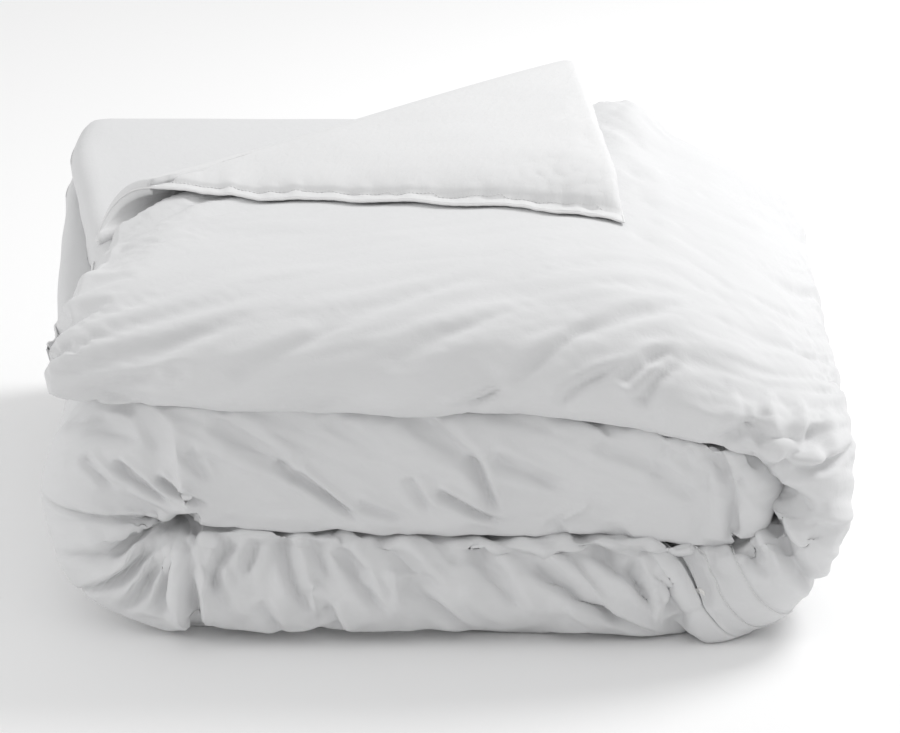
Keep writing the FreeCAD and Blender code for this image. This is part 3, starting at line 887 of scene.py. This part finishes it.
rows_mid, rows_half, hem_distance, corner_distance = [], [], [], []
for s in s_values:
    start_at = (1 - s) * RIM_ADVANCE
    q = s * CREASE_LENGTH + start_at * np.clip(turn, 0, math.pi) / math.pi
    base = TIP + q[:, None] * ALONG - (ROLL_RADIUS * np.sin(turn))[:, None] * ACROSS
    rise = 0.5 * BACK_RISE * float(smooth(s))
    lifted = rise * smooth(turn / math.pi)
    roll = np.concatenate(
        [base, (ROLL_Z - ROLL_RADIUS * np.cos(turn) + lifted)[:, None]], axis=1
    )
    crest = TIP + (s * CREASE_LENGTH + start_at) * ALONG
    hem_start = TIP + RIM_ADVANCE * ALONG
    edge_point = hem_start + s * (FREE_CORNER - hem_start)
    width = float(np.linalg.norm(edge_point - crest))
    plan = crest + flat_share[:, None] * (edge_point - crest)
    from_hem = (1 - flat_share) * width
    low = smooth(1 - from_hem / 0.10)
    crest_z = ROLL_Z + ROLL_RADIUS + rise
    settling = float(smooth(s / 0.22))
    hem_z = (top_at(*edge_point) + 0.0035) * settling + crest_z * (1 - settling)
    ground = np.array([top_at(*place) for place in plan]) + 0.009 + rise
    rests = smooth((s - 0.72) / 0.28) * smooth((np.linalg.norm(plan - crest, axis=1) - 0.02) / 0.13)
    z = crest_z * (1 - rests) + np.minimum(ground, crest_z) * rests
    z = z * (1 - low) + hem_z * low
    flat_part = np.concatenate([plan, z[:, None]], axis=1)
    rows_mid.append(np.concatenate([roll, flat_part]))
    from_right = (1 - s) * 0.53
    from_left = s * 0.60
    inner_d = np.maximum(from_hem - FLANGE, 0)
    puff = 0.0016 + (0.0078 + rise) * rounding(inner_d, 0.045)
    puff *= rounding(from_hem, 0.0016)
    roll_half = (ROLL_HALF + lifted) * rounding((turn + 0.30) * ROLL_RADIUS, 0.006)
    full = np.concatenate([roll_half, puff])
    full *= rounding(np.full(len(full), from_right), 0.016)
    full *= rounding(np.full(len(full), from_left), 0.006)
    rows_half.append(full)
    hem_distance.append(np.concatenate([np.full(len(turn), 9.0), from_hem]))
    flat_xy = rows_mid[-1][:, :2]
    corner_distance.append(np.linalg.norm(flat_xy - FREE_CORNER, axis=1))

flap_mid, flap_half = np.array(rows_mid), np.array(rows_half)
hem_distance, corner_distance = np.array(hem_distance), np.array(corner_distance)
fx, fy = flap_mid[..., 0].ravel(), flap_mid[..., 1].ravel()
shape = flap_half.shape
crinkle = noise_at(fx * 55 + fy * 20, fy * 55 - fx * 12, 91.0).reshape(shape)
crinkle = 0.25 - np.abs(crinkle) + 0.5 * noise_at(fx * 90, fy * 90, 92.0).reshape(shape)
soft = noise_at(fx * 9, fy * 16, 93.0).reshape(shape)
pucker = noise_at(fx * 75, fy * 14, 94.0).reshape(shape)
on_flat = smooth((np.arange(shape[1])[None, :] - len(turn)) / 12)
near_corner = smooth(1 - corner_distance / 0.19) * on_flat
near_hem = np.exp(-((hem_distance - FLANGE) / 0.012) ** 2)
flap_mid[..., 2] += 0.0026 * crinkle * near_corner + 0.0026 * soft * on_flat
flap_mid[..., 2] += 0.0022 * pucker * near_hem
stitch_dip = np.exp(-((hem_distance - FLANGE) / 0.0022) ** 2)
flap_half *= 1 - 0.45 * stitch_dip
flap_half += 0.0006 * np.abs(pucker) * near_hem * (flap_half > 0)
flap_half[0] = flap_half[-1] = 0
flap_half[:, 0] = flap_half[:, -1] = 0
flap_cloth = pad("duvet_turned_corner", flap_mid, flap_half, (4.0, 0.0))


# ---------------------------------------------------------------- seams and stitches
def tube(name, path, radius, sides=8):
    """A round bead along a path, closed at both ends, with the slight twist of its stitching."""
    path = np.asarray(path, float)
    direction = np.gradient(path, axis=0)
    direction /= np.maximum(np.linalg.norm(direction, axis=1, keepdims=True), 1e-9)
    side = np.cross(direction, (0.0, 0.0, 1.0))
    short = np.linalg.norm(side, axis=1) < 0.2
    side[short] = np.cross(direction[short], (0.0, 1.0, 0.0))
    side /= np.linalg.norm(side, axis=1, keepdims=True)
    other = np.cross(direction, side)
    n = len(path)
    angles = 2 * math.pi * np.arange(sides) / sides
    r = np.full(n, radius) * (1 + 0.14 * np.sin(np.arange(n) * 1.9))
    r[0] = r[-1] = radius * 0.25
    rings = (
        path[:, None] + r[:, None, None] * (
            np.cos(angles)[None, :, None] * side[:, None]
            + np.sin(angles)[None, :, None] * other[:, None]
        )
    )
    quads = []
    for i in range(n - 1):
        for j in range(sides):
            k = (j + 1) % sides
            quads.append((i * sides + j, i * sides + k, (i + 1) * sides + k, (i + 1) * sides + j))
    quads.append(tuple(range(sides))[::-1])
    quads.append(tuple((n - 1) * sides + j for j in range(sides)))
    return wrap_uv(mesh_object(name, rings.reshape(-1, 3), quads), sides, 0.0035)


def wrap_uv(obj, sides, step):
    """The cloth's map on a thread or bead: along it, then round it."""
    loops = np.empty(len(obj.data.loops), np.int32)
    obj.data.loops.foreach_get("vertex_index", loops)
    return finish_mesh(obj, np.stack([loops // sides * step, loops % sides * step], axis=1))


def resampled(path, step):
    """The path with points evenly spaced."""
    path = np.asarray(path, float)
    along = np.concatenate([[0], np.cumsum(np.linalg.norm(np.diff(path, axis=0), axis=1))])
    at = np.linspace(0, along[-1], max(int(along[-1] / step), 2) + 1)
    return np.stack([np.interp(at, along, path[:, k]) for k in range(3)], axis=1)


def stitches(name, path, up, length=0.0028, gap=0.0012, radius=0.00045):
    """A row of thread stitches along a path, standing just proud of the cloth."""
    points_on = resampled(path, length + gap)
    verts, quads = [], []
    for a, b in zip(points_on[:-1], points_on[1:]):
        d = b - a
        size = np.linalg.norm(d)
        if size < 1e-6:
            continue
        d /= size
        side = np.cross(d, up)
        side /= max(np.linalg.norm(side), 1e-9)
        raised = np.cross(side, d)
        base = len(verts)
        for share, rise in ((0.0, -0.6), (0.2, 0.6), (0.5, 1.0), (0.8, 0.6), (1.0, -0.6)):
            c = a + d * length * share + raised * radius * rise
            for w, h in ((1, 0), (0, 1), (-1, 0), (0, -1)):
                verts.append(c + radius * (w * side + h * raised))
        for i in range(4):
            for j in range(4):
                k = (j + 1) % 4
                a0 = base + i * 4
                quads.append((a0 + j, a0 + k, a0 + 4 + k, a0 + 4 + j))
        quads.append((base + 3, base + 2, base + 1, base))
        quads.append((base + 16, base + 17, base + 18, base + 19))
    return wrap_uv(mesh_object(name, verts, quads), 4, 0.0007)


SEAM_RADIUS = 0.0012
rim = flap_mid[0, :len(turn)]
hem = flap_mid[:, -1]
right_edge = flap_mid[-1, len(turn):][::-1]
corner_bead = tube(
    "seam_turned_corner", resampled(np.concatenate([rim, hem[1:], right_edge[1:]]), 0.0035),
    SEAM_RADIUS,
)
flange_path = []
for i in range(8, len(s_values) - 6):
    column = int(np.argmin(np.abs(hem_distance[i] - FLANGE)))
    flange_path.append(flap_mid[i, column] + (0, 0, flap_half[i, column] + 0.0002))
corner_stitches = stitches("stitches_turned_corner", flange_path, np.array((0.0, 0.0, 1.0)))

front_mark = int(np.argmin(np.abs(fine_frac - 0.5)))
end_line = final[-1, :front_mark + 1]
end_line = end_line[end_line[:, 1] < TIP[1] + 0.02]
top_bead = tube("seam_top_lap_end", resampled(end_line - (0.0008, 0, 0), 0.0035), SEAM_RADIUS)
free_line = final[0, 4:front_mark + 1]
middle_bead = tube("seam_middle_lap_end", resampled(free_line + (0.0008, 0, 0), 0.0035), SEAM_RADIUS)

# ---------------------------------------------------------------- the closure band
def on_strip(station, share, off):
    """A point at a station and share of the way round, off metres above the cloth."""
    ring = float(np.interp(station, station_at, np.arange(rings)))
    place = float(np.interp(share, fine_frac, np.arange(around)))
    i, j = int(ring), int(place)
    a, b = ring - i, place - j

    def mix(grid):
        return (1 - a) * ((1 - b) * grid[i, j] + b * grid[i, j + 1]) + a * (
            (1 - b) * grid[i + 1, j] + b * grid[i + 1, j + 1]
        )

    return mix(final) + off * mix(final_normals)


ups = np.linspace(0, 1, 44)
acrosses = np.concatenate([[0, 0.01, 0.03], np.linspace(0.07, 0.93, 26), [0.97, 0.99, 1.0]])
band_mid, band_half = [], []
for up in ups:
    share = BAND_FLOOR + (BAND_TOP - BAND_FLOOR) * up
    a, c = line_at(SLIT, up), line_at(STITCH_2, up) + 0.5
    first = (line_at(STITCH_1, up) - a) / (c - a)
    second = (line_at(STITCH_2, up) - a) / (c - a)
    row_mid, row_half = [], []
    for t in acrosses:
        lift = 0.0020 * float(smooth((1.0 - t) / 0.12)) - 0.0006
        lift += 0.0035 * math.exp(-(t / 0.08) ** 2) * float(smooth((up - 0.3) / 0.3))
        groove = math.exp(-((t - first) / 0.028) ** 2) + math.exp(-((t - second) / 0.028) ** 2)
        row_mid.append(on_strip(a + (c - a) * t, share, lift - 0.0010 * groove))
        row_half.append(0.0008 * min(1.0, 12 * t + 0.2, 12 * (1 - t) + 0.2))
    band_mid.append(row_mid)
    band_half.append(row_half)
band_mid, band_half = np.array(band_mid), np.array(band_half)
band_half[0] = band_half[-1] = 0
band_half[:, 0] = band_half[:, -1] = 0
band = pad("closure_band", band_mid, band_half, (6.0, 0.0))
band_rows = []
for name, ends in (("stitches_closure_inner", STITCH_1), ("stitches_closure_outer", STITCH_2)):
    path = [
        on_strip(line_at(ends, up), BAND_FLOOR + (BAND_TOP - BAND_FLOOR) * up, 0.0024)
        for up in np.linspace(0.02, 0.98, 60)
    ]
    band_rows.append(stitches(name, path, np.array((0.0, -1.0, 0.3))))


# ---------------------------------------------------------------- materials
def cloth_material(name, colour, rough, thread, weave_depth, crinkle_depth, sheen):
    """Plain-woven cotton: two crossed sets of threads, faint slubs and fine crinkles."""
    mat = bpy.data.materials.new(name)
    mat.use_nodes = True
    nodes, links = mat.node_tree.nodes, mat.node_tree.links
    shader = nodes["Principled BSDF"]
    shader.inputs["Sheen Weight"].default_value = sheen
    shader.inputs["Sheen Roughness"].default_value = 0.5
    shader.inputs["Specular IOR Level"].default_value = 0.25
    uv = nodes.new("ShaderNodeUVMap")
    uv.uv_map = "cloth"

    def node(kind, **values):
        n = nodes.new(kind)
        for key, value in values.items():
            if hasattr(n, key):
                setattr(n, key, value)
            else:
                n.inputs[key.replace("_", " ")].default_value = value
        return n

    waves = []
    for direction in ("X", "Y"):
        wave = node("ShaderNodeTexWave", bands_direction=direction, Scale=0.314 / thread, Distortion=1.2)
        wave.inputs["Detail Scale"].default_value = 2.0
        links.new(uv.outputs["UV"], wave.inputs["Vector"])
        waves.append(wave)
    weave = node("ShaderNodeMath", operation="MULTIPLY")
    links.new(waves[0].outputs["Fac"], weave.inputs[0])
    links.new(waves[1].outputs["Fac"], weave.inputs[1])
    slub_map = node("ShaderNodeMapping")
    slub_map.inputs["Scale"].default_value = (60.0, 900.0, 1.0)
    links.new(uv.outputs["UV"], slub_map.inputs["Vector"])
    slub = node("ShaderNodeTexNoise", Scale=1.0, Detail=2.0)
    links.new(slub_map.outputs["Vector"], slub.inputs["Vector"])
    crinkles = node("ShaderNodeTexNoise", Scale=85.0, Detail=5.0, Roughness=0.55, Distortion=0.6)
    links.new(uv.outputs["UV"], crinkles.inputs["Vector"])
    blotch = node("ShaderNodeTexNoise", Scale=7.0, Detail=3.0)
    links.new(uv.outputs["UV"], blotch.inputs["Vector"])

    weave_bump = node("ShaderNodeBump", Strength=0.25, Distance=weave_depth)
    links.new(weave.outputs["Value"], weave_bump.inputs["Height"])
    slub_bump = node("ShaderNodeBump", Strength=0.2, Distance=weave_depth)
    links.new(slub.outputs["Fac"], slub_bump.inputs["Height"])
    links.new(weave_bump.outputs["Normal"], slub_bump.inputs["Normal"])
    crinkle_bump = node("ShaderNodeBump", Strength=0.35, Distance=crinkle_depth)
    links.new(crinkles.outputs["Fac"], crinkle_bump.inputs["Height"])
    links.new(slub_bump.outputs["Normal"], crinkle_bump.inputs["Normal"])
    links.new(crinkle_bump.outputs["Normal"], shader.inputs["Normal"])

    tint = node("ShaderNodeMix", data_type="RGBA")
    shade = [c * 0.965 for c in colour]
    tint_colours = [i for i in tint.inputs if i.type == "RGBA"]
    tint_colours[0].default_value = (*shade, 1)
    tint_colours[1].default_value = (*colour, 1)
    sum_up = node("ShaderNodeMath", operation="MULTIPLY_ADD")
    links.new(slub.outputs["Fac"], sum_up.inputs[0])
    sum_up.inputs[1].default_value = 0.4
    links.new(blotch.outputs["Fac"], sum_up.inputs[2])
    links.new(sum_up.outputs["Value"], tint.inputs["Factor"])
    links.new([o for o in tint.outputs if o.type == "RGBA"][0], shader.inputs["Base Color"])
    roughness = node("ShaderNodeMapRange")
    roughness.inputs["To Min"].default_value = rough - 0.06
    roughness.inputs["To Max"].default_value = rough + 0.06
    links.new(crinkles.outputs["Fac"], roughness.inputs["Value"])
    links.new(roughness.outputs["Result"], shader.inputs["Roughness"])
    return mat


# colour, roughness, thread spacing, depths of weave and crinkles in metres, sheen
percale = cloth_material(
    "white_percale", (0.715, 0.717, 0.722), 0.82, 0.0008, 0.0002, 0.0016, 0.12
)
# the turned corner is the same white percale as the rest of the cover: its lighter colour is painted
# light, not a different cloth
percale_painted_light = cloth_material(
    "percale_turned_painted_light", (0.745, 0.746, 0.749), 0.78, 0.0008, 0.0002, 0.0022, 0.14
)
thread = cloth_material("seam_thread", (0.79, 0.79, 0.79), 0.70, 0.0005, 0.0001, 0.0002, 0.10)
tape = cloth_material("cotton_tape", (0.80, 0.80, 0.79), 0.85, 0.0006, 0.0002, 0.0004, 0.10)
pearl = cloth_material("button_pearl", (0.82, 0.81, 0.79), 0.30, 0.0030, 0.0, 0.0001, 0.0)

for piece in (lower_cloth, fold_cloth, top_cloth, ply_upper, ply_lower, band):
    piece.data.materials.append(percale)
# the turned corner gets the lighter copy of the percale, whose extra lightness is painted light
flap_cloth.data.materials.append(percale_painted_light)
for piece in (corner_bead, corner_stitches, top_bead, middle_bead, *band_rows):
    piece.data.materials.append(thread)

# ---------------------------------------------------------------- what rides on what
for piece in (lower_cloth, middle_bead, band, *band_rows):
    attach(piece, "lower_laps")
for piece in (ply_upper, ply_lower, top_bead):
    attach(piece, "top_lap")
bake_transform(fold_cloth)
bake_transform(top_cloth)
for piece in (flap_cloth, corner_bead, corner_stitches):
    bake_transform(piece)


def stands_for(piece, slot, *nodes):
    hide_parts(*nodes)


stands_for(
    lower_cloth, "cover_cloth", "cover_bottom_lap", "cover_middle_lap", "cover_left_fold",
    "duvet_shell_bottom_lap", "duvet_shell_middle_lap", "duvet_shell_left_fold",
    "filling_bottom_lap", "filling_middle_lap", "filling_left_fold",
    "baffles_bottom_lap", "baffles_middle_lap",
)
stands_for(fold_cloth, "cover_cloth", "cover_right_fold", "duvet_shell_right_fold", "filling_right_fold")
stands_for(
    top_cloth, "cover_cloth", "cover_top_lap_upper_ply", "duvet_shell_top_lap_upper_ply",
    "filling_top_lap_upper_ply",
)
stands_for(
    ply_lower, "cover_cloth", "cover_top_lap_lower_plies", "duvet_shell_top_lap_lower_plies",
    "filling_top_lap_lower_plies", "baffles_top_lap_lower_plies",
)
stands_for(
    flap_cloth, "cover_cloth", "cover_turned_corner", "duvet_shell_turned_corner",
    "filling_turned_corner",
)
stands_for(corner_bead, "seam_cloth", "edge_seam_turned_corner")
stands_for(top_bead, "seam_cloth", "edge_seam_top_lap_end")
stands_for(middle_bead, "seam_cloth", "edge_seam_middle_lap_end")
stands_for(band, "placket_cloth", "closure_upper_placket", "closure_lower_placket")
for node_name, material in (
    ("closure_buttons", pearl), ("care_label", tape), ("cover_ties_middle_lap", tape),
    ("cover_tie_top_lap", tape), ("duvet_loops_middle_lap", tape), ("duvet_loop_top_lap", tape),
):
    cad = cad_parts[node_name]
    if not cad.data.uv_layers:
        cad.data.uv_layers.new(name="cloth")
    cad.data.materials.clear()
    cad.data.materials.append(material)

# ---------------------------------------------------------------- stage, light, camera
bpy.ops.mesh.primitive_plane_add(size=30, location=(0, 0, -0.0005))
floor = bpy.context.object
floor.name = "studio_floor"
floor_material = bpy.data.materials.new("studio_floor")
floor_material.use_nodes = True
floor_shader = floor_material.node_tree.nodes["Principled BSDF"]
floor_shader.inputs["Base Color"].default_value = (0.95, 0.95, 0.95, 1)
floor_shader.inputs["Roughness"].default_value = 1.0
floor.data.materials.append(floor_material)

world = bpy.data.worlds.new("studio")
bpy.context.scene.world = world
world.use_nodes = True
world.node_tree.nodes["Background"].inputs["Color"].default_value = (1, 1, 1, 1)
world.node_tree.nodes["Background"].inputs["Strength"].default_value = 0.71
bpy.context.scene.view_settings.view_transform = "Standard"


def area_light(name, location, target, size, power):
    data = bpy.data.lights.new(name, "AREA")
    data.shape = "DISK"
    data.size = size
    data.energy = power
    o = bpy.data.objects.new(name, data)
    bpy.context.scene.collection.objects.link(o)
    o.location = location
    o.rotation_mode = "QUATERNION"
    o.rotation_quaternion = (Vector(target) - Vector(location)).to_track_quat("-Z", "Y")
    return o


area_light("key", (1.6, 0.9, 1.9), (0, 0, 0.2), 1.0, 36)
area_light("side", (-2.4, -0.9, 1.2), (0, 0, 0.15), 0.8, 9)

cam_data = bpy.data.cameras.new("camera")
cam = bpy.data.objects.new("camera", cam_data)
bpy.context.scene.collection.objects.link(cam)
bpy.context.scene.camera = cam
ELEVATION = math.radians(21.0)
DISTANCE = 4.1 + 0.35 * math.cos(ELEVATION)
AIM = Vector((0.0, 0.0, 0.1485))
back = Vector((0, -math.cos(ELEVATION), math.sin(ELEVATION)))
cam.location = AIM + back * DISTANCE
cam.rotation_mode = "QUATERNION"
cam.rotation_quaternion = (-back).to_track_quat("-Z", "Y")
cam_data.lens = 174.0
cam_data.clip_end = 100
